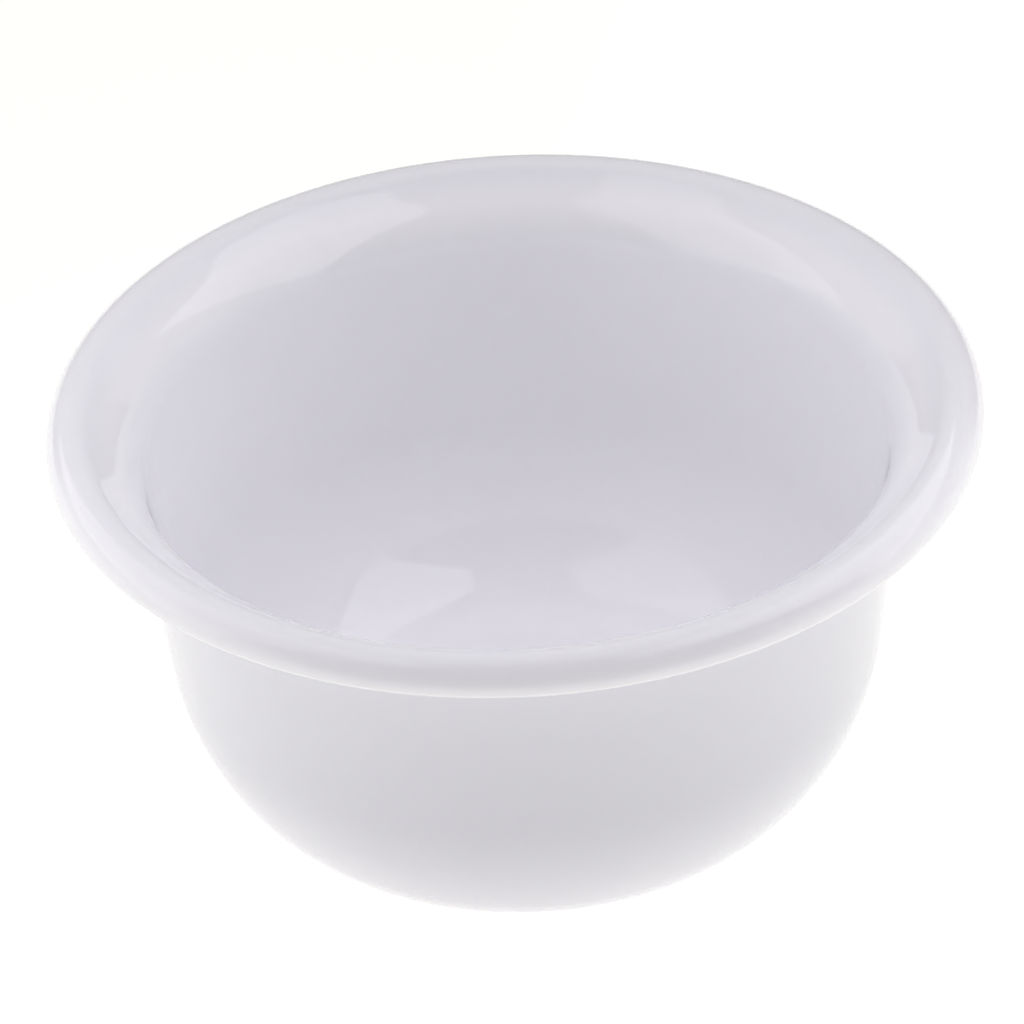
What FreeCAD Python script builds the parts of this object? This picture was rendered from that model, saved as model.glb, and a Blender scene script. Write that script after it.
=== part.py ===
"""Shaving bowl: a one-piece moulded lather bowl with a flared flange and a thick rounded lip.

The bowl is one turned section about Z. It stands on its foot ring at Z = 0, and the origin is the
middle of the foot. From the lip down, the inside line is the lip's round, the sloping flange, the
flare, the long wall, the round of the bowl's side, the round of its bottom, and the flat floor. The
outside line runs one wall thickness behind it, and ends in a low foot ring round a shallow recess.
"""
import FreeCAD, Part
import math
import os

import Sketcher
from FreeCAD import Rotation, Vector

# Driving dimensions, in millimetres and degrees. Slopes are angles from the horizontal.
SIZES = {
    "rim_radius": 57.5,         # outermost radius of the lip
    "total_height": 60.0,       # from the foot's face to the top of the lip
    "lip_radius": 3.3,          # round of the lip's top and outside
    "lip_depth": 4.0,           # from the top of the lip to its underside
    "flange_slope": 38.0,       # slope of the flange, which falls inwards from the lip
    "flange_length": 3.2,       # length of the flange between the lip's round and the flare
    "flare_radius": 10.0,       # round of the flare, from the flange into the wall
    "wall_top_slope": 80.0,     # slope where the flare passes into the long wall
    "wall_low_slope": 84.0,     # steepest slope, where the wall passes into the bowl's side
    "wall_height": 25.2,        # height of the long wall between those two slopes
    "side_radius": 30.0,        # round of the bowl's side, on the inside
    "bottom_slope": 59.0,       # slope where the side's round passes into the bottom's
    "bottom_radius": 20.6,      # round of the bowl's bottom, on the inside
    "wall_thickness": 2.4,      # thickness of the wall, flange, flare and rounds
    "foot_radius": 21.0,        # outer radius of the foot ring's face
    "foot_width": 3.0,          # width of the foot ring's face
    "foot_draft": 12.0,         # lean of the foot ring's sides from the vertical
    "recess_depth": 0.9,        # depth of the recess inside the foot ring
    "gate_radius": 1.4,         # round mark of the moulding gate in the recess
    "gate_height": 0.4,         # how far that mark stands out of the recess
    "underside_round": 2.0,     # round where the lip's underside meets the flange's
    "foot_root_round": 1.5,     # round where the foot ring meets the bowl's bottom
    "foot_edge_round": 0.4,     # round of the foot ring's edges
}
START, END, CENTRE = 1, 2, 3    # a sketch edge's points, as the sketcher numbers them
H_AXIS, V_AXIS, ORIGIN = -1, -2, (-1, 1)
NEAR = 0.01                     # how closely an edge must match the corner that names it


def make_sheet(doc):
    """The spreadsheet that every size of the bowl is bound to."""
    sheet = doc.addObject("Spreadsheet::Sheet", "Sizes")
    for row, (name, value) in enumerate(SIZES.items(), start=1):
        sheet.set(f"A{row}", name)
        sheet.set(f"B{row}", str(value))
        sheet.setAlias(f"B{row}", name)
    doc.recompute()
    return sheet


def plane(body, role):
    """One of the body's own origin planes."""
    return next(item for item in body.Origin.OriginFeatures if item.Role == role)


def make_sketch(body, name, role):
    """A sketch on one of the body's own origin planes."""
    sketch = body.newObject("Sketcher::SketchObject", name)
    sketch.AttachmentSupport = [(plane(body, role), "")]
    sketch.MapMode = "FlatFace"
    return sketch


def sine(degrees):
    return math.sin(math.radians(degrees))


def cosine(degrees):
    return math.cos(math.radians(degrees))


def arc(centre, radius, first, last):
    """An arc drawn counter-clockwise from one angle to another, in degrees."""
    circle = Part.Circle(Vector(*centre, 0), Vector(0, 0, 1), radius)
    return Part.ArcOfCircle(circle, math.radians(first), math.radians(last))


def arc_point(centre, radius, degrees):
    return (centre[0] + radius * cosine(degrees), centre[1] + radius * sine(degrees))


def line(first, last):
    return Part.LineSegment(Vector(*first, 0), Vector(*last, 0))


class Section:
    """Collects the edges and the bound dimensions of one sketch."""

    def __init__(self, sketch):
        self.sketch = sketch

    def edge(self, geometry):
        return self.sketch.addGeometry(geometry, False)

    def tie(self, kind, *where):
        """A constraint with no size."""
        self.sketch.addConstraint(Sketcher.Constraint(kind, *where))

    def size(self, name, expression, kind, *where):
        """A constraint whose size is bound to the sheet."""
        value = self.sketch.evalExpression(expression)
        value = float(getattr(value, "Value", value))
        if kind == "Angle":
            value = math.radians(value)
        index = self.sketch.addConstraint(Sketcher.Constraint(kind, *where, value))
        self.sketch.renameConstraint(index, name)
        self.sketch.setExpression(f"Constraints.{name}", expression)


def draw_section(sketch):
    """The bowl's closed section, right of the axis, with the foot's face at height zero.

    Returns the (radius, height) of the two corners that are rounded later: where the lip's
    underside meets the flange's, and where the foot ring meets the bowl's bottom.
    """
    dim = SIZES
    lip = dim["lip_radius"]
    corner = dim["lip_depth"] - lip
    wall = dim["wall_thickness"]
    top, low, bottom = dim["wall_top_slope"], dim["wall_low_slope"], dim["bottom_slope"]
    slope = dim["flange_slope"]
    flare_radius = dim["flare_radius"]
    wall_radius = dim["wall_height"] / (cosine(top) - cosine(low))

    # Centres of the rounds, each reached from the one before through the point that they share.
    rim = dim["rim_radius"]
    height = dim["total_height"]
    lip_centre = (rim - lip, height - lip)
    corner_centre = (rim - corner, height - lip)
    flange_top = arc_point(lip_centre, lip, 90 + slope)
    flange_low = arc_point(flange_top, dim["flange_length"], 180 + slope)
    flare_centre = arc_point(flange_low, flare_radius, slope - 90)
    wall_centre = arc_point(flare_centre, flare_radius - wall_radius, 90 + top)
    side_centre = arc_point(wall_centre, wall_radius + dim["side_radius"], 90 + low)
    bottom_centre = arc_point(side_centre, dim["side_radius"] - dim["bottom_radius"], bottom - 90)
    floor_height = bottom_centre[1] - dim["bottom_radius"]

    # The outside line follows one wall thickness behind, from the lip's underside to the foot.
    underside = height - dim["lip_depth"]
    outer_flare = flare_radius - wall
    outer_flange_low = arc_point(flare_centre, outer_flare, 90 + slope)
    outer_flange_length = (underside - outer_flange_low[1]) / sine(slope)
    outer_flange_top = arc_point(outer_flange_low, outer_flange_length, slope)
    outer_bottom = dim["bottom_radius"] + wall
    foot_lean = math.tan(math.radians(dim["foot_draft"]))
    recess = dim["recess_depth"]
    foot_in = dim["foot_radius"] - dim["foot_width"]
    foot_top = foot_meets_bottom(bottom_centre, outer_bottom, dim["foot_radius"], foot_lean)
    foot_angle = math.degrees(math.atan2(foot_top[1] - bottom_centre[1], foot_top[0] - bottom_centre[0]))

    part = Section(sketch)
    lip_round = part.edge(arc(lip_centre, lip, 0, 90 + slope))
    flange = part.edge(line(flange_top, flange_low))
    flare = part.edge(arc(flare_centre, flare_radius, 90 + slope, 90 + top))
    long_wall = part.edge(arc(wall_centre, wall_radius, 90 + top, 90 + low))
    side = part.edge(arc(side_centre, dim["side_radius"], bottom - 90, low - 90))
    base = part.edge(arc(bottom_centre, dim["bottom_radius"], -90, bottom - 90))
    floor = part.edge(line((bottom_centre[0], floor_height), (0, floor_height)))
    middle = part.edge(line((0, floor_height), (0, recess)))
    recess_top = part.edge(line((0, recess), (foot_in - recess * foot_lean, recess)))
    recess_side = part.edge(line((foot_in - recess * foot_lean, recess), (foot_in, 0)))
    foot_face = part.edge(line((foot_in, 0), (dim["foot_radius"], 0)))
    foot_side = part.edge(line((dim["foot_radius"], 0), foot_top))
    outer_base = part.edge(arc(bottom_centre, outer_bottom, foot_angle, bottom - 90))
    outer_side = part.edge(arc(side_centre, dim["side_radius"] + wall, bottom - 90, low - 90))
    outer_wall = part.edge(arc(wall_centre, wall_radius - wall, 90 + top, 90 + low))
    outer_round = part.edge(arc(flare_centre, outer_flare, 90 + slope, 90 + top))
    outer_flange = part.edge(line(outer_flange_low, outer_flange_top))
    lip_face = part.edge(line(outer_flange_top, (rim - corner, underside)))
    lip_corner = part.edge(arc(corner_centre, corner, -90, 0))

    # The inside line: rounds that run smoothly into each other.
    part.tie("Tangent", lip_round, END, flange, START)
    part.tie("Tangent", flange, END, flare, START)
    part.tie("Tangent", flare, END, long_wall, START)
    part.tie("Tangent", long_wall, END, side, END)
    part.tie("Tangent", side, START, base, END)
    part.tie("Tangent", base, START, floor, START)
    part.tie("Horizontal", floor)
    part.tie("PointOnObject", floor, END, V_AXIS)
    part.tie("Horizontal", lip_round, START, lip_round, CENTRE)
    part.size("rim", "Sizes.rim_radius", "DistanceX", *ORIGIN, lip_round, START)
    part.size("height", "Sizes.total_height - Sizes.lip_radius", "DistanceY", *ORIGIN, lip_round, CENTRE)
    part.size("lip_radius", "Sizes.lip_radius", "Radius", lip_round)
    part.size("lip_sweep", "(90 + Sizes.flange_slope) * 1 deg", "Angle", lip_round)
    part.size("flange_length", "Sizes.flange_length", "Distance", flange)
    part.size("flare_radius", "Sizes.flare_radius", "Radius", flare)
    part.size("flare_sweep", "(Sizes.wall_top_slope - Sizes.flange_slope) * 1 deg", "Angle", flare)
    part.size("wall_height", "Sizes.wall_height", "DistanceY", long_wall, END, long_wall, START)
    part.size("wall_sweep", "(Sizes.wall_low_slope - Sizes.wall_top_slope) * 1 deg", "Angle", long_wall)
    part.size("side_radius", "Sizes.side_radius", "Radius", side)
    part.size("side_sweep", "(Sizes.wall_low_slope - Sizes.bottom_slope) * 1 deg", "Angle", side)
    part.size("bottom_radius", "Sizes.bottom_radius", "Radius", base)

    # The foot: the recess, the ring's two leaning sides and its flat face.
    part.tie("Coincident", floor, END, middle, START)
    part.tie("Vertical", middle)
    part.tie("Coincident", middle, END, recess_top, START)
    part.tie("Horizontal", recess_top)
    part.tie("Coincident", recess_top, END, recess_side, START)
    part.tie("Coincident", recess_side, END, foot_face, START)
    part.tie("PointOnObject", foot_face, START, H_AXIS)
    part.tie("Horizontal", foot_face)
    part.tie("Coincident", foot_face, END, foot_side, START)
    part.tie("Coincident", foot_side, END, outer_base, START)
    part.size("recess_depth", "Sizes.recess_depth", "DistanceY", *ORIGIN, recess_top, START)
    part.size("recess_radius", "Sizes.foot_radius - Sizes.foot_width", "DistanceX", *ORIGIN, foot_face, START)
    part.size("foot_radius", "Sizes.foot_radius", "DistanceX", *ORIGIN, foot_face, END)
    part.size("recess_lean", "Sizes.recess_depth * tan(Sizes.foot_draft)", "DistanceX",
              recess_top, END, foot_face, START)
    part.size("foot_lean", "(90 - Sizes.foot_draft) * 1 deg", "Angle", foot_side)

    # The outside line: the same centres as the inside line, one wall thickness further out.
    for inner, outer in ((base, outer_base), (side, outer_side), (long_wall, outer_wall), (flare, outer_round)):
        part.tie("Coincident", inner, CENTRE, outer, CENTRE)
    part.tie("Tangent", outer_base, END, outer_side, START)
    part.tie("Tangent", outer_side, END, outer_wall, END)
    part.tie("Tangent", outer_wall, START, outer_round, END)
    part.size("wall_thickness", "Sizes.side_radius + Sizes.wall_thickness", "Radius", outer_side)

    # The lip's flat underside, which starts where the flange's comes up to it, and its lower corner.
    part.tie("Tangent", outer_round, START, outer_flange, START)
    part.tie("Parallel", flange, outer_flange)
    part.tie("Coincident", outer_flange, END, lip_face, START)
    part.tie("Horizontal", lip_face)
    part.tie("Tangent", lip_face, END, lip_corner, START)
    part.tie("Tangent", lip_corner, END, lip_round, START)
    part.size("corner_radius", "Sizes.lip_depth - Sizes.lip_radius", "Radius", lip_corner)
    corners = (sketch.getPoint(lip_face, START), sketch.getPoint(outer_base, START))
    return [(point.x, point.y) for point in corners]


def foot_meets_bottom(centre, radius, foot_radius, lean):
    """Where the foot ring's outer side, leaning outwards, meets the bowl's outer bottom round."""
    # Points of the side are (foot_radius + lean * z, z); the nearer crossing of the circle is it.
    across = foot_radius - centre[0]
    a = lean ** 2 + 1
    b = 2 * (lean * across - centre[1])
    c = across ** 2 + centre[1] ** 2 - radius ** 2
    z = (-b - math.sqrt(b ** 2 - 4 * a * c)) / (2 * a)
    return (foot_radius + lean * z, z)


def circle_edges(shape, radius, height):
    """Names of the shape's round edges of one radius at one height."""
    names = []
    for number, edge in enumerate(shape.Edges, start=1):
        curve = edge.Curve
        if not isinstance(curve, Part.Circle):
            continue
        if abs(curve.Radius - radius) < NEAR and abs(curve.Center.z - height) < NEAR:
            names.append(f"Edge{number}")
    return names


def round_circles(body, name, corners, size):
    """Rounds the body's circular edges at the given (radius, height) corners."""
    edges = []
    for radius, height in corners:
        edges += circle_edges(body.Shape, radius, height)
    if len(edges) != len(corners):
        raise RuntimeError(f"{name}: found {len(edges)} edges for {len(corners)} corners")
    base = body.Tip
    fillet = body.newObject("PartDesign::Fillet", name)
    fillet.Base = (base, edges)
    fillet.setExpression("Radius", f"Sizes.{size}")
    body.Document.recompute()


def add_gate_mark(body):
    """The moulding gate's round mark, which hangs from the top of the recess."""
    outline = make_sketch(body, "gate_mark_outline", "XY_Plane")
    outline.setExpression("AttachmentOffset.Base.z", "Sizes.recess_depth")
    section = Section(outline)
    ring = section.edge(Part.Circle(Vector(0, 0, 0), Vector(0, 0, 1), SIZES["gate_radius"]))
    section.tie("Coincident", ring, CENTRE, *ORIGIN)
    section.size("gate_radius", "Sizes.gate_radius", "Radius", ring)
    mark = body.newObject("PartDesign::Pad", "gate_mark")
    mark.Profile = outline
    mark.Reversed = True
    mark.setExpression("Length", "Sizes.gate_height")
    body.Document.recompute()


def make_bowl(doc):
    """The bowl: its turned section, its rounded corners and the gate's mark."""
    body = doc.addObject("PartDesign::Body", "bowl")
    body.Label = "bowl"
    body.Placement = FreeCAD.Placement(Vector(0, 0, 0), Rotation())

    section = make_sketch(body, "bowl_section", "XZ_Plane")
    lip_root, foot_root = draw_section(section)
    shell = body.newObject("PartDesign::Revolution", "turned_shell")
    shell.Profile = section
    shell.ReferenceAxis = (section, ["V_Axis"])
    shell.Angle = 360.0
    doc.recompute()

    foot_out = SIZES["foot_radius"]
    foot_in = foot_out - SIZES["foot_width"]
    round_circles(body, "lip_root_round", [lip_root], "underside_round")
    round_circles(body, "foot_root_round", [foot_root], "foot_root_round")
    round_circles(body, "foot_edge_rounds", [(foot_out, 0), (foot_in, 0)], "foot_edge_round")
    before_mark = body.Shape.Volume
    add_gate_mark(body)
    added = body.Shape.Volume - before_mark
    expected = math.pi * SIZES["gate_radius"] ** 2 * SIZES["gate_height"]
    if abs(added - expected) > 0.01 * expected:
        raise RuntimeError(f"gate mark added {added:.3f} mm3, not {expected:.3f}")
    return body


def check_and_write(doc, body):
    """Stops if anything failed to compute, then writes the part's file."""
    failed = [item.Name for item in doc.Objects if {"Invalid", "Error"} & set(item.State)]
    if failed:
        raise RuntimeError("did not compute: " + ", ".join(failed))
    shape = body.Shape
    if shape.isNull() or not shape.isValid() or len(shape.Solids) != 1:
        raise RuntimeError("the bowl is not one valid solid")
    os.makedirs("parts", exist_ok=True)
    shape.exportStep(f"parts/{body.Label}.step")
    print(f"{body.Label}: volume {shape.Volume:.0f} mm3, faces {len(shape.Faces)}")


def main():
    doc = FreeCAD.newDocument("shaving_bowl")
    make_sheet(doc)
    body = make_bowl(doc)
    doc.recompute()
    check_and_write(doc, body)


main()
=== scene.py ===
"""Shaving bowl of opal white plastic, on a white light table between two leaning softboxes.

The bowl is one moulded piece, so it is one lathe mesh. Its sizes repeat those of the CAD model, and
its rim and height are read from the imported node. Lengths are in metres, and slopes and angles in
degrees.
"""
import math

import bmesh
import bpy
from mathutils import Matrix, Vector


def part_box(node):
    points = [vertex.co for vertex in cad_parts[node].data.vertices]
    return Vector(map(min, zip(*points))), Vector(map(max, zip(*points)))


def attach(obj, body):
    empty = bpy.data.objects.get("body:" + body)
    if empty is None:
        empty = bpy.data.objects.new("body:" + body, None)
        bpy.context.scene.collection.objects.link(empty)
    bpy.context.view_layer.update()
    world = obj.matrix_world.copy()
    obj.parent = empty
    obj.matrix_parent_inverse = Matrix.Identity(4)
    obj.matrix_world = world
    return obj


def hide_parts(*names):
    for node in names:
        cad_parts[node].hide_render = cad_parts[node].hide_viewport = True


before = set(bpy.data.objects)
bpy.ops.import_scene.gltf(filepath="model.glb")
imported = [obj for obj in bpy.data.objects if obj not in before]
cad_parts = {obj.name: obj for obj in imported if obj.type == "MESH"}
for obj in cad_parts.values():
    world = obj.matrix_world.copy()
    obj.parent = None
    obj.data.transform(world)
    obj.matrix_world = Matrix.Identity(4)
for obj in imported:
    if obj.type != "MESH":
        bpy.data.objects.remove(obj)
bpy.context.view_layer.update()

MM = 0.001
NODE = "bowl"

# Sizes of the bowl's section. The rim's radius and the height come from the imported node.
LIP_RADIUS = 3.3 * MM           # round of the lip's top and outside
LIP_DEPTH = 4.0 * MM            # from the top of the lip to its underside
FLANGE_SLOPE = 38.0             # slope of the flange, which falls inwards from the lip
FLANGE_LENGTH = 3.2 * MM        # length of the flange between the lip's round and the flare
FLARE_RADIUS = 10.0 * MM        # round of the flare, from the flange into the wall
WALL_TOP_SLOPE = 80.0           # slope where the flare passes into the long wall
WALL_LOW_SLOPE = 84.0           # steepest slope, where the wall passes into the bowl's side
WALL_HEIGHT = 25.2 * MM         # height of the long wall between those two slopes
SIDE_RADIUS = 30.0 * MM         # round of the bowl's side, on the inside
BOTTOM_SLOPE = 59.0             # slope where the side's round passes into the bottom's
BOTTOM_RADIUS = 20.6 * MM       # round of the bowl's bottom, on the inside
WALL_THICKNESS = 2.4 * MM
FOOT_RADIUS = 21.0 * MM         # outer radius of the foot ring's face
FOOT_WIDTH = 3.0 * MM           # width of the foot ring's face
FOOT_DRAFT = 12.0               # lean of the foot ring's sides from the vertical
RECESS_DEPTH = 0.9 * MM         # depth of the recess inside the foot ring
GATE_RADIUS = 1.4 * MM          # round mark of the moulding gate in the recess
GATE_HEIGHT = 0.4 * MM
LIP_ROOT_ROUND = 2.0 * MM       # round where the lip's underside meets the flange's
FOOT_ROOT_ROUND = 1.5 * MM      # round where the foot ring meets the bowl's bottom
FOOT_EDGE_ROUND = 0.4 * MM      # round of the foot ring's edges
GATE_EDGE_ROUND = 0.1 * MM      # round of the gate mark's edge

AROUND = 384                    # faces round the bowl
SHARP_ANGLE = 50.0              # edges that turn by more than this shade as sharp

# The plastic. Its colour wanders between two tones, and its roughness between two values.
TONE_DARK = (0.765, 0.755, 0.85, 1.0)
TONE_LIGHT = (0.785, 0.775, 0.87, 1.0)
GLOSS_ROUGHNESS = (0.025, 0.045)
REFRACTION = 1.49
SCATTER_RADIUS = (1.0, 0.95, 1.05)
SCATTER_SCALE = 12.0 * MM       # the mean path inside the plastic is about a twelfth of this
RIPPLE_STRENGTH = 0.05
RIPPLE_HEIGHT = 0.02 * MM
CLOUD_SCALE = 28.0              # noise scales, in features to the metre
PATCH_SCALE = 90.0
RIPPLE_SCALE = 260.0

# Where the photographer's camera stood. It looks at a point a little to one side of the axis.
CAMERA_RIMS_AWAY = 12.0         # distance from the middle of the rim, in rim radii
CAMERA_ELEVATION = 33.86
CAMERA_ROLL = -3.19
CAMERA_LENS = 198.3             # focal length in millimetres, on a sensor 36 mm wide
AIM_POINT = Vector((-1.0, 0.0, 41.9)) * MM

# Each softbox is a flat panel that leans over the bowl. Three of its corners are given in
# millimetres: the upper back one, the upper front one and the lower back one. The corners were
# fitted to the panels' reflections in the bowl. Radiance 1 shows as white.
PANELS = {
    "softbox_right": (Vector((108, -104, 537)), Vector((131, -227, 478)), Vector((65, 85, 126))),
    "softbox_left": (Vector((-76, -5, 372)), Vector((-73, -142, 332)), Vector((-108, 76, 93))),
}
PANEL_RADIANCE = {"softbox_right": 1.25, "softbox_left": 0.90}

# The studio round the bowl, from the camera's side (-Y) to the back (+Y). Each stop is how far
# along Y a direction points, with the brightness overhead and the one near the horizon.
SURROUNDINGS = (
    (-1.00, 0.08, 0.06),
    (-0.62, 0.08, 0.06),
    (-0.48, 0.12, 0.77),
    (-0.14, 0.12, 0.77),
    (-0.06, 0.38, 1.20),
    (0.20, 0.72, 1.20),
    (0.40, 0.72, 0.85),
    (0.62, 0.60, 0.80),
    (0.76, 0.50, 0.15),
    (1.00, 0.50, 0.15),
)
OVERHEAD_COLUMN = 1
HORIZON_COLUMN = 2
HORIZON_TOP = 0.15              # the height of a direction up to which it counts as near the horizon
OVERHEAD_FROM = 0.60            # the height from which it counts as overhead

# The light table that the bowl stands on. It glows a little more on the right of the bowl.
TABLE_SIZE = 4.0
TABLE_COLOUR = (0.35, 0.35, 0.35, 1.0)
TABLE_GLOW_COLOUR = (1.0, 0.985, 0.945, 1.0)
TABLE_GLOW = 0.85
TABLE_GLOW_RIGHT = 0.95
TABLE_GLOW_REACH = 80.0 * MM    # how far right of the axis the glow keeps growing
TABLE_ROUGHNESS = (0.60, 0.70)
HAZE_SCALE = 6.0


# ---- The bowl's section, as (radius, height) points ----

def sine(degrees):
    return math.sin(math.radians(degrees))


def cosine(degrees):
    return math.cos(math.radians(degrees))


def arc_point(centre, radius, degrees):
    return Vector((centre[0] + radius * cosine(degrees), centre[1] + radius * sine(degrees)))


def arc(centre, radius, first, last, steps):
    """Points along an arc from one angle to another, both ends included."""
    angles = [first + (last - first) * i / steps for i in range(steps + 1)]
    return [arc_point(centre, radius, angle) for angle in angles]


def run(first, last, steps):
    """Points inside a straight run, without its ends."""
    first, last = Vector(first), Vector(last)
    return [first.lerp(last, i / steps) for i in range(1, steps)]


def direction(centre, point):
    """The angle of a point seen from a centre, in degrees."""
    return math.degrees(math.atan2(point[1] - centre[1], point[0] - centre[0]))


def arc_between(centre, first, last, steps):
    """The shorter arc about a centre from one point to another."""
    start = direction(centre, first)
    turn = (direction(centre, last) - start + 180) % 360 - 180
    return arc(centre, (Vector(first) - Vector(centre)).length, start, start + turn, steps)


def rounded_corner(before, corner, after, radius, steps):
    """The round that takes off the corner between two straight runs."""
    before, corner, after = Vector(before), Vector(corner), Vector(after)
    back = (before - corner).normalized()
    ahead = (after - corner).normalized()
    half = back.angle(ahead) / 2
    first = corner + back * radius / math.tan(half)
    last = corner + ahead * radius / math.tan(half)
    centre = corner + (back + ahead).normalized() * radius / math.sin(half)
    return arc_between(centre, first, last, steps)


def foot_root(bottom_centre, bottom_radius):
    """The round between the bowl's outer bottom and the foot ring's leaning side."""
    up_side = Vector((sine(FOOT_DRAFT), cosine(FOOT_DRAFT)))
    out = Vector((cosine(FOOT_DRAFT), -sine(FOOT_DRAFT)))
    start = Vector((FOOT_RADIUS, 0.0)) + out * FOOT_ROOT_ROUND
    reach = bottom_radius + FOOT_ROOT_ROUND
    offset = start - bottom_centre
    along = offset.dot(up_side)
    climb = -along - math.sqrt(along ** 2 - offset.length_squared + reach ** 2)
    centre = start + up_side * climb
    on_bottom = bottom_centre + (centre - bottom_centre) * bottom_radius / reach
    return arc_between(centre, on_bottom, centre - out * FOOT_ROOT_ROUND, 8)


def bowl_section(rim_radius, height):
    """The outline from the middle of the inside floor, over the lip, to the middle underneath."""
    corner_radius = LIP_DEPTH - LIP_RADIUS
    wall_radius = WALL_HEIGHT / (cosine(WALL_TOP_SLOPE) - cosine(WALL_LOW_SLOPE))
    lip_centre = Vector((rim_radius - LIP_RADIUS, height - LIP_RADIUS))
    flange_top = arc_point(lip_centre, LIP_RADIUS, 90 + FLANGE_SLOPE)
    flange_low = arc_point(flange_top, FLANGE_LENGTH, 180 + FLANGE_SLOPE)
    flare_centre = arc_point(flange_low, FLARE_RADIUS, FLANGE_SLOPE - 90)
    wall_centre = arc_point(flare_centre, FLARE_RADIUS - wall_radius, 90 + WALL_TOP_SLOPE)
    side_centre = arc_point(wall_centre, wall_radius + SIDE_RADIUS, 90 + WALL_LOW_SLOPE)
    bottom_centre = arc_point(side_centre, SIDE_RADIUS - BOTTOM_RADIUS, BOTTOM_SLOPE - 90)
    floor_height = bottom_centre[1] - BOTTOM_RADIUS
    low, top = 90 + WALL_LOW_SLOPE, 90 + WALL_TOP_SLOPE

    # The inside, from the middle of the floor up to the lip and over it.
    outline = [Vector((0.0, floor_height))]
    outline += run((0.0, floor_height), (bottom_centre[0], floor_height), 10)
    outline += arc(bottom_centre, BOTTOM_RADIUS, -90, BOTTOM_SLOPE - 90, 28)
    outline += arc(side_centre, SIDE_RADIUS, BOTTOM_SLOPE - 90, WALL_LOW_SLOPE - 90, 16)[1:]
    outline += arc(wall_centre, wall_radius, low, top, 20)[1:]
    outline += arc(flare_centre, FLARE_RADIUS, top, 90 + FLANGE_SLOPE, 18)[1:]
    outline += run(flange_low, flange_top, 5)
    outline += arc(lip_centre, LIP_RADIUS, 90 + FLANGE_SLOPE, 0, 36)
    outline += arc((rim_radius - corner_radius, lip_centre[1]), corner_radius, 0, -90, 8)[1:]

    # The outside, one wall thickness behind the inside.
    underside = height - LIP_DEPTH
    outer_flange_low = arc_point(flare_centre, FLARE_RADIUS - WALL_THICKNESS, 90 + FLANGE_SLOPE)
    climb = (underside - outer_flange_low[1]) / sine(FLANGE_SLOPE)
    lip_root = arc_point(outer_flange_low, climb, FLANGE_SLOPE)
    outer_bottom = BOTTOM_RADIUS + WALL_THICKNESS
    root = foot_root(bottom_centre, outer_bottom)
    outline += rounded_corner(outline[-1], lip_root, outer_flange_low, LIP_ROOT_ROUND, 8)
    outline += arc(flare_centre, FLARE_RADIUS - WALL_THICKNESS, 90 + FLANGE_SLOPE, top, 14)
    outline += arc(wall_centre, wall_radius - WALL_THICKNESS, top, low, 20)[1:]
    outer_side = SIDE_RADIUS + WALL_THICKNESS
    outline += arc(side_centre, outer_side, WALL_LOW_SLOPE - 90, BOTTOM_SLOPE - 90, 16)[1:]
    root_angle = direction(bottom_centre, root[0])
    outline += arc(bottom_centre, outer_bottom, BOTTOM_SLOPE - 90, root_angle, 24)[1:-1]

    # The foot ring, the recess inside it and the gate's mark.
    foot_in = FOOT_RADIUS - FOOT_WIDTH
    lean = math.tan(math.radians(FOOT_DRAFT))
    recess_edge = (foot_in - RECESS_DEPTH * lean, RECESS_DEPTH)
    mark_low = RECESS_DEPTH - GATE_HEIGHT
    outline += root
    outline += rounded_corner(root[-1], (FOOT_RADIUS, 0), (foot_in, 0), FOOT_EDGE_ROUND, 6)
    outline += rounded_corner((FOOT_RADIUS, 0), (foot_in, 0), recess_edge, FOOT_EDGE_ROUND, 6)
    outline += [Vector(recess_edge)]
    outline += run(recess_edge, (GATE_RADIUS, RECESS_DEPTH), 8)
    outline += [Vector((GATE_RADIUS, RECESS_DEPTH))]
    outline += rounded_corner(
        (GATE_RADIUS, RECESS_DEPTH), (GATE_RADIUS, mark_low), (0, mark_low), GATE_EDGE_ROUND, 4
    )
    outline += [Vector((0.0, mark_low))]
    return outline


def lathe(name, outline):
    """A closed mesh turned from an outline whose two ends lie on the axis."""
    mesh = bpy.data.meshes.new(name)
    work = bmesh.new()
    turns = [(cosine(360 * i / AROUND), sine(360 * i / AROUND)) for i in range(AROUND)]
    first = work.verts.new((0.0, 0.0, outline[0][1]))
    last = work.verts.new((0.0, 0.0, outline[-1][1]))
    rings = []
    for radius, height in outline[1:-1]:
        rings.append([work.verts.new((radius * x, radius * y, height)) for x, y in turns])
    for i in range(AROUND):
        j = (i + 1) % AROUND
        work.faces.new((first, rings[0][i], rings[0][j]))
        work.faces.new((last, rings[-1][j], rings[-1][i]))
        for lower, upper in zip(rings, rings[1:]):
            work.faces.new((lower[i], upper[i], upper[j], lower[j]))
    bmesh.ops.recalc_face_normals(work, faces=work.faces)
    work.to_mesh(mesh)
    work.free()
    mesh.shade_smooth()
    mesh.set_sharp_from_angle(angle=math.radians(SHARP_ANGLE))
    shape = bpy.data.objects.new(name, mesh)
    bpy.context.scene.collection.objects.link(shape)
    return shape


# ---- Materials ----

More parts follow.
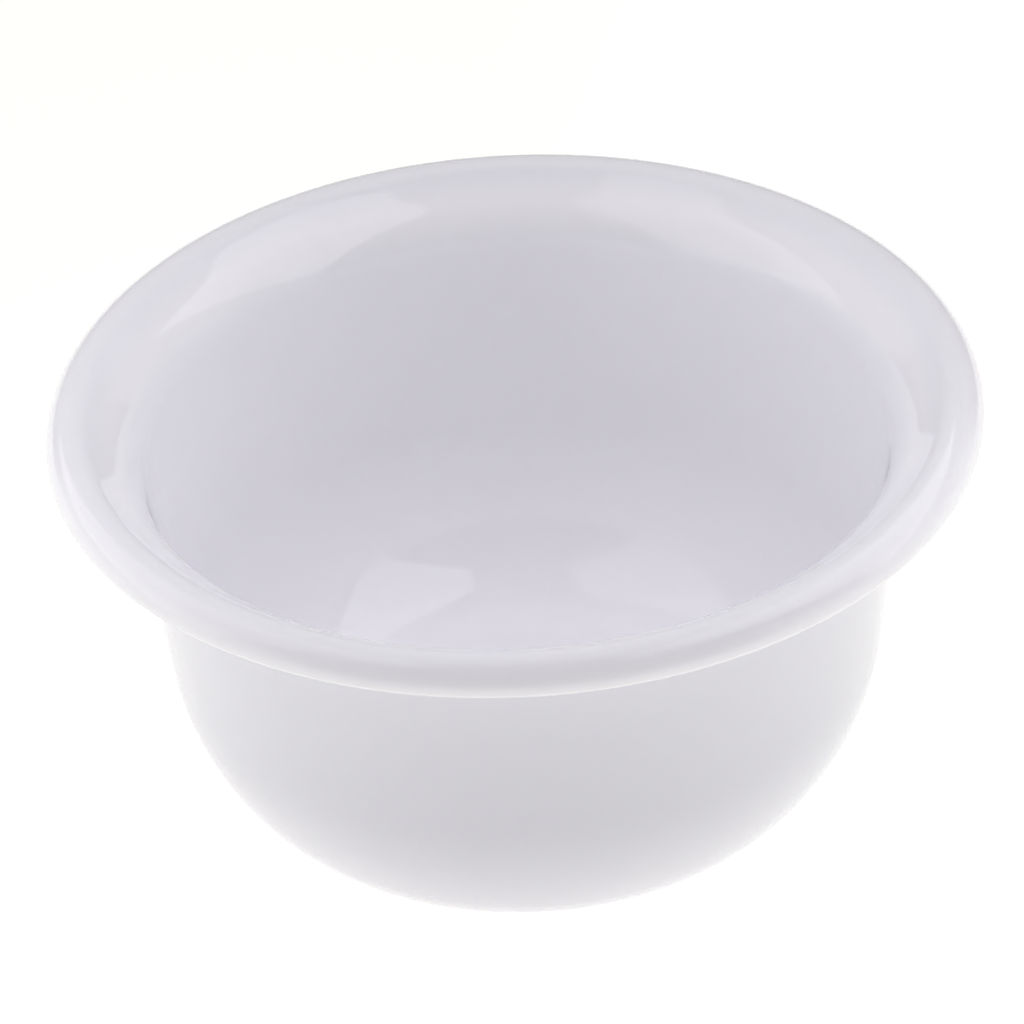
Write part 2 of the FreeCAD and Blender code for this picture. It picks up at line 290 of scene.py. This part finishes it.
class Nodes:
    """A short way to add and join a material's or a world's nodes."""

    def __init__(self, owner):
        owner.use_nodes = True
        self.tree = owner.node_tree

    def existing(self, kind):
        return next(node for node in self.tree.nodes if node.type == kind)

    def add(self, kind, **inputs):
        node = self.tree.nodes.new(kind)
        for name, value in inputs.items():
            node.inputs[name.replace("_", " ")].default_value = value
        return node

    def join(self, source, target):
        self.tree.links.new(source, target)

    def noise(self, place, scale, detail):
        node = self.add("ShaderNodeTexNoise", Scale=scale, Detail=detail)
        self.join(place, node.inputs["Vector"])
        return node.outputs["Fac"]

    def spread(self, value, low, high):
        """The value, which is about 0.3 to 0.7, stretched to run from low to high."""
        node = self.add("ShaderNodeMapRange", From_Min=0.3, From_Max=0.7, To_Min=low, To_Max=high)
        self.join(value, node.inputs["Value"])
        return node.outputs["Result"]


def opal_plastic():
    """Polished opal plastic: cloudy in tone, a little uneven in gloss, with a moulded ripple."""
    material = bpy.data.materials.new("opal_plastic_finish")
    nodes = Nodes(material)
    shader = nodes.existing("BSDF_PRINCIPLED")
    place = nodes.add("ShaderNodeTexCoord").outputs["Object"]

    # Slow clouds in the pigment, from how the plastic flowed.
    clouds = nodes.noise(place, CLOUD_SCALE, 3.0)
    tone = nodes.add("ShaderNodeMix")
    tone.data_type = "RGBA"
    nodes.join(nodes.spread(clouds, 0.0, 1.0), tone.inputs["Factor"])
    tone.inputs["A"].default_value = TONE_DARK
    tone.inputs["B"].default_value = TONE_LIGHT
    nodes.join(tone.outputs["Result"], shader.inputs["Base Color"])

    # Gloss that varies a little, in soft patches.
    patches = nodes.noise(place, PATCH_SCALE, 4.0)
    nodes.join(nodes.spread(patches, *GLOSS_ROUGHNESS), shader.inputs["Roughness"])

    # The faint ripple of a moulded surface.
    ripple = nodes.noise(place, RIPPLE_SCALE, 2.0)
    bump = nodes.add("ShaderNodeBump", Strength=RIPPLE_STRENGTH, Distance=RIPPLE_HEIGHT)
    nodes.join(ripple, bump.inputs["Height"])
    nodes.join(bump.outputs["Normal"], shader.inputs["Normal"])

    shader.inputs["IOR"].default_value = REFRACTION
    shader.inputs["Subsurface Weight"].default_value = 1.0
    shader.inputs["Subsurface Radius"].default_value = SCATTER_RADIUS
    shader.inputs["Subsurface Scale"].default_value = SCATTER_SCALE
    return material


def light_table():
    """The white top of a lit table, with a faint unevenness."""
    material = bpy.data.materials.new("light_table")
    nodes = Nodes(material)
    shader = nodes.existing("BSDF_PRINCIPLED")
    place = nodes.add("ShaderNodeTexCoord").outputs["Object"]
    haze = nodes.noise(place, HAZE_SCALE, 2.0)
    nodes.join(nodes.spread(haze, *TABLE_ROUGHNESS), shader.inputs["Roughness"])
    shader.inputs["Base Color"].default_value = TABLE_COLOUR
    shader.inputs["Emission Color"].default_value = TABLE_GLOW_COLOUR

    parts = nodes.add("ShaderNodeSeparateXYZ")
    nodes.join(place, parts.inputs["Vector"])
    glow = nodes.add(
        "ShaderNodeMapRange",
        From_Min=0.0,
        From_Max=TABLE_GLOW_REACH,
        To_Min=TABLE_GLOW,
        To_Max=TABLE_GLOW_RIGHT,
    )
    nodes.join(parts.outputs["X"], glow.inputs["Value"])
    nodes.join(glow.outputs["Result"], shader.inputs["Emission Strength"])
    return material


# ---- The studio ----

def make_floor():
    mesh = bpy.data.meshes.new("light_table_top")
    half = TABLE_SIZE / 2
    corners = [(-half, -half, 0), (half, -half, 0), (half, half, 0), (-half, half, 0)]
    mesh.from_pydata(corners, [], [(0, 1, 2, 3)])
    floor = bpy.data.objects.new("light_table_top", mesh)
    bpy.context.scene.collection.objects.link(floor)
    floor.data.materials.append(light_table())


def make_panel(name):
    """One softbox, as an area light whose rectangle has the panel's corners."""
    upper_back, upper_front, lower_back = [corner * MM for corner in PANELS[name]]
    down = lower_back - upper_back
    across = upper_front - upper_back
    middle = upper_back + (down + across) / 2
    facing = down.cross(across).normalized()
    if facing.dot(middle) < 0:
        facing = -facing
    across_side = across.normalized()
    down_side = facing.cross(across_side)
    data = bpy.data.lights.new(name, "AREA")
    data.shape = "RECTANGLE"
    data.size = across.length
    data.size_y = down.length
    data.energy = PANEL_RADIANCE[name] * math.pi * across.length * down.length
    panel = bpy.data.objects.new(name, data)
    bpy.context.scene.collection.objects.link(panel)
    # A light shines along its own -Z, which points back at the bowl.
    turn = Matrix((across_side, down_side, facing)).transposed().to_4x4()
    panel.matrix_world = Matrix.Translation(middle) @ turn
    panel.visible_camera = False


def surroundings_ramp(nodes, along, column):
    """Brightness by how far a direction points along Y, from one column of SURROUNDINGS."""
    ramp = nodes.add("ShaderNodeValToRGB")
    elements = ramp.color_ramp.elements
    while len(elements) < len(SURROUNDINGS):
        elements.new(0.5)
    for element, stop in zip(elements, SURROUNDINGS):
        element.position = (stop[0] + 1) / 2
        element.color = (stop[column], stop[column], stop[column], 1.0)
    nodes.join(along, ramp.inputs["Fac"])
    return ramp.outputs["Color"]


def make_surroundings():
    """The studio's walls: dark on the camera's side, grey overhead and bright behind."""
    world = bpy.data.worlds.new("studio")
    bpy.context.scene.world = world
    nodes = Nodes(world)
    towards = nodes.add("ShaderNodeTexCoord").outputs["Generated"]
    parts = nodes.add("ShaderNodeSeparateXYZ")
    nodes.join(towards, parts.inputs["Vector"])
    along = nodes.add("ShaderNodeMapRange", From_Min=-1.0, From_Max=1.0)
    nodes.join(parts.outputs["Y"], along.inputs["Value"])
    climb = nodes.add("ShaderNodeMapRange", From_Min=HORIZON_TOP, From_Max=OVERHEAD_FROM)
    nodes.join(parts.outputs["Z"], climb.inputs["Value"])
    blend = nodes.add("ShaderNodeMix")
    blend.data_type = "RGBA"
    nodes.join(climb.outputs["Result"], blend.inputs["Factor"])
    horizon = surroundings_ramp(nodes, along.outputs["Result"], HORIZON_COLUMN)
    overhead = surroundings_ramp(nodes, along.outputs["Result"], OVERHEAD_COLUMN)
    nodes.join(horizon, blend.inputs["A"])
    nodes.join(overhead, blend.inputs["B"])
    nodes.join(blend.outputs["Result"], nodes.existing("BACKGROUND").inputs["Color"])


def make_camera(rim_radius, height):
    away = Vector((0.0, -cosine(CAMERA_ELEVATION), sine(CAMERA_ELEVATION)))
    place = Vector((0.0, 0.0, height)) + away * CAMERA_RIMS_AWAY * rim_radius
    ahead = (AIM_POINT - place).normalized()
    level_right = ahead.cross(Vector((0.0, 0.0, 1.0))).normalized()
    level_up = level_right.cross(ahead)
    right = level_right * cosine(CAMERA_ROLL) + level_up * sine(CAMERA_ROLL)
    up = level_up * cosine(CAMERA_ROLL) - level_right * sine(CAMERA_ROLL)
    data = bpy.data.cameras.new("studio_camera")
    data.lens = CAMERA_LENS
    data.sensor_width = 36.0
    camera = bpy.data.objects.new("studio_camera", data)
    bpy.context.scene.collection.objects.link(camera)
    camera.matrix_world = Matrix.Translation(place) @ Matrix((right, up, -ahead)).transposed().to_4x4()
    bpy.context.scene.camera = camera


def make_bowl(rim_radius, height):
    bowl = lathe("bowl_shell", bowl_section(rim_radius, height))
    bowl.data.materials.append(opal_plastic())
    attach(bowl, "root")
    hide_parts(NODE)


node_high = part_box(NODE)[1]
make_bowl(node_high[0], node_high[2])
make_floor()
for panel_name in PANELS:
    make_panel(panel_name)
make_surroundings()
make_camera(node_high[0], node_high[2])
bpy.context.scene.view_settings.view_transform = "Standard"
